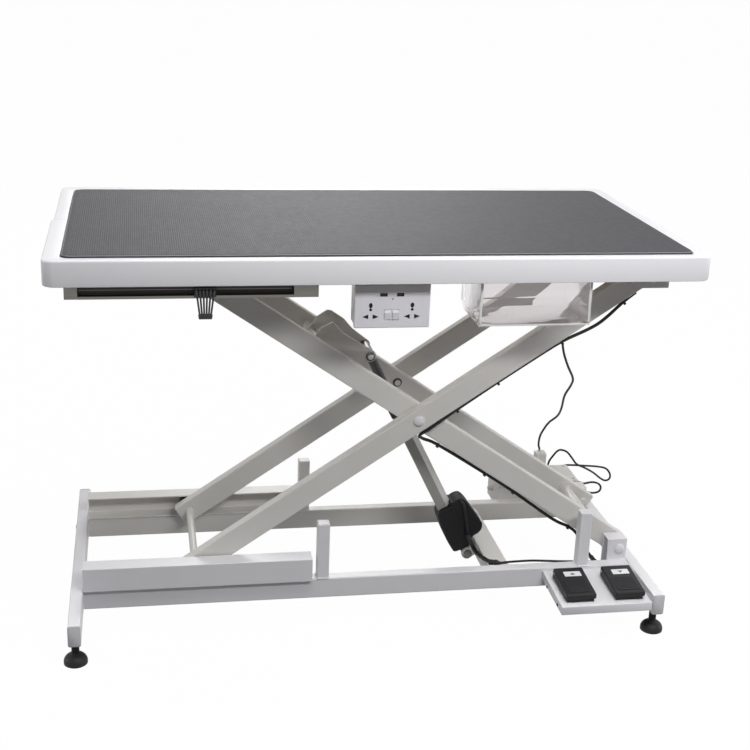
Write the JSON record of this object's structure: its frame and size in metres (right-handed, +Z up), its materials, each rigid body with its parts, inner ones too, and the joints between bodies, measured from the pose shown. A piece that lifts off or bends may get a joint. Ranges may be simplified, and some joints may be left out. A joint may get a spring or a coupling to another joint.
{
  "type": "electric grooming table",
  "caption": "Scissor-lift grooming table with a ribbed mat in a white rim, a linear actuator, foot pedals, a slotted hook rail, a socket box and a clear tray.",
  "frame": {"origin": "on the floor under the middle of the table top", "axes": "+X along the table to the pedal end, +Y to the back, +Z up"},
  "size_m": [1.3365, 0.678, 0.8267],
  "materials": {
    "white_coat": "satin white powder coat",
    "white_rim": "white moulded edging",
    "white_plate": "white socket plastic",
    "mat_rubber": "fine ribbed dark grey rubber",
    "black_plastic": "black moulded plastic",
    "black_rubber": "black rubber and cord sheath",
    "grey_tube": "grey drawn tube",
    "grey_box": "light grey plastic",
    "dull_aluminium": "dull extruded aluminium",
    "zinc": "zinc-plated steel",
    "acrylic": "clear acrylic",
    "board": "board"
  },
  "bodies": {
    "base": {"base_bar_left": "white_coat", "base_bar_right": "white_coat", "base_rail_front": "white_coat", "base_rail_rear": "white_coat", "roller_channel_front": "white_coat", "roller_channel_rear": "white_coat", "base_cross_tube": "white_coat", "clevis_pin": "zinc", "base_pivot_bolt_front": "white_coat", "base_pivot_bolt_rear": "white_coat", "control_box": "grey_box", "pedal_plate": "white_coat", "pedal_base_up": "black_plastic", "pedal_base_down": "black_plastic", "slack_loop": "black_rubber", "small_loop": "black_rubber", "actuator_lead": "black_rubber", "hanging_cord_lower": "black_rubber"},
    "inner_arms": {"inner_arm_front": "white_coat", "inner_arm_rear": "white_coat", "inner_cross_tube": "white_coat", "lever": "white_coat", "top_axle": "white_coat", "harness_inner": "black_rubber"},
    "outer_arms": {"outer_arm_front": "white_coat", "outer_arm_rear": "white_coat", "centre_pivot_bolt_front": "white_coat", "centre_pivot_bolt_rear": "white_coat", "base_axle": "white_coat", "harness_outer": "black_rubber", "hanging_cord_upper": "black_rubber"},
    "table": {"rim_front": "white_rim", "rim_rear": "white_rim", "table_board": "board", "mat": "mat_rubber", "table_rail_front": "white_coat", "table_rail_rear": "white_coat", "top_pivot_bolt_front": "white_coat", "top_pivot_bolt_rear": "white_coat", "hook_rail": "dull_aluminium", "socket_plate": "white_plate", "socket_box": "white_plate", "tray_hanger": "white_coat"},
    "base_rollers": {"base_roller_front": "black_plastic", "base_roller_rear": "black_plastic"},
    "top_rollers": {"top_roller_front": "black_plastic", "top_roller_rear": "black_plastic"},
    "actuator": {"actuator_housing": "black_plastic", "actuator_tube": "grey_tube"},
    "rod": {"actuator_rod": "black_plastic"},
    "tray": {"tray": "acrylic"},
    "hooks": {"hook_set": "black_plastic"},
    "rocker_left": {"rocker_left": "white_plate"},
    "rocker_right": {"rocker_right": "white_plate"},
    "treadle_up": {"treadle_up": "black_plastic"},
    "treadle_down": {"treadle_down": "black_plastic"},
    "foot_front_left": {"levelling_foot_front_left": "black_rubber"},
    "foot_front_right": {"levelling_foot_front_right": "black_rubber"},
    "foot_rear_left": {"levelling_foot_rear_left": "black_rubber"},
    "foot_rear_right": {"levelling_foot_rear_right": "black_rubber"}
  },
  "joints": [
    {"name": "lift", "type": "hinge", "parent": "base", "child": "inner_arms", "pos_m": [0.5688, 0, 0.1198], "axis": [0, 1, 0], "range_deg": [-29.1, 12.1], "deforming": ["hanging_cord_lower"]},
    {"name": "centre_fold", "type": "hinge", "parent": "inner_arms", "child": "outer_arms", "pos_m": [0.10565, 0, 0.43102], "axis": [0, 1, 0], "range_deg": [-24.4, 58.4], "deforming": ["harness_inner", "hanging_cord_upper"]},
    {"name": "table_level", "type": "hinge", "parent": "outer_arms", "child": "table", "pos_m": [0.5688, 0, 0.74224], "axis": [0, 1, 0], "range_deg": [-29.3, 12.3]},
    {"name": "actuator_swing", "type": "hinge", "parent": "base", "child": "actuator", "pos_m": [0.262, 0, 0.056], "axis": [0, 1, 0], "range_deg": [-36.9, 15.5], "deforming": ["actuator_lead"]},
    {"name": "rod_extend", "type": "slide", "parent": "actuator", "child": "rod", "axis": [-0.4519, 0, 0.8921], "range_m": [-0.137, 0.0575]},
    {"name": "base_rollers_spin", "type": "hinge", "parent": "outer_arms", "child": "base_rollers", "pos_m": [-0.3575, 0, 0.1198], "axis": [0, 1, 0], "continuous": true},
    {"name": "top_rollers_spin", "type": "hinge", "parent": "inner_arms", "child": "top_rollers", "pos_m": [-0.3575, 0, 0.74224], "axis": [0, 1, 0], "continuous": true},
    {"name": "tray_slide", "type": "slide", "parent": "table", "child": "tray", "axis": [0, -1, 0], "range_m": [0, 0.08]},
    {"name": "hooks_slide", "type": "slide", "parent": "table", "child": "hooks", "axis": [1, 0, 0], "range_m": [-0.2065, 0.1415]},
    {"name": "rocker_left_tilt", "type": "hinge", "parent": "table", "child": "rocker_left", "pos_m": [0.00165, -0.292, 0.70334], "axis": [1, 0, 0], "range_deg": [-5, 5]},
    {"name": "rocker_right_tilt", "type": "hinge", "parent": "table", "child": "rocker_right", "pos_m": [0.01715, -0.292, 0.70334], "axis": [1, 0, 0], "range_deg": [-5, 5]},
    {"name": "treadle_up_press", "type": "hinge", "parent": "base", "child": "treadle_up", "pos_m": [0.434, -0.222, 0.0998], "axis": [1, 0, 0], "range_deg": [0, 3], "stiffness_Nm_per_rad": 4, "springref_deg": -3.44},
    {"name": "treadle_down_press", "type": "hinge", "parent": "base", "child": "treadle_down", "pos_m": [0.541, -0.222, 0.0998], "axis": [1, 0, 0], "range_deg": [0, 3], "stiffness_Nm_per_rad": 4, "springref_deg": -3.44},
    {"name": "foot_front_left_screw", "type": "slide", "parent": "base", "child": "foot_front_left", "axis": [0, 0, 1], "range_m": [-0.01, 0.008]},
    {"name": "foot_front_right_screw", "type": "slide", "parent": "base", "child": "foot_front_right", "axis": [0, 0, 1], "range_m": [-0.01, 0.008]},
    {"name": "foot_rear_left_screw", "type": "slide", "parent": "base", "child": "foot_rear_left", "axis": [0, 0, 1], "range_m": [-0.01, 0.008]},
    {"name": "foot_rear_right_screw", "type": "slide", "parent": "base", "child": "foot_rear_right", "axis": [0, 0, 1], "range_m": [-0.01, 0.008]}
  ],
  "couplings": [
    {"joint": "centre_fold", "follows": "lift", "ratio": -2},
    {"joint": "table_level", "follows": "lift", "ratio": 1},
    {"joint": "actuator_swing", "follows": "lift", "ratio": 1.2609},
    {"joint": "rod_extend", "follows": "lift", "m_per_rad": 0.26757}
  ]
}
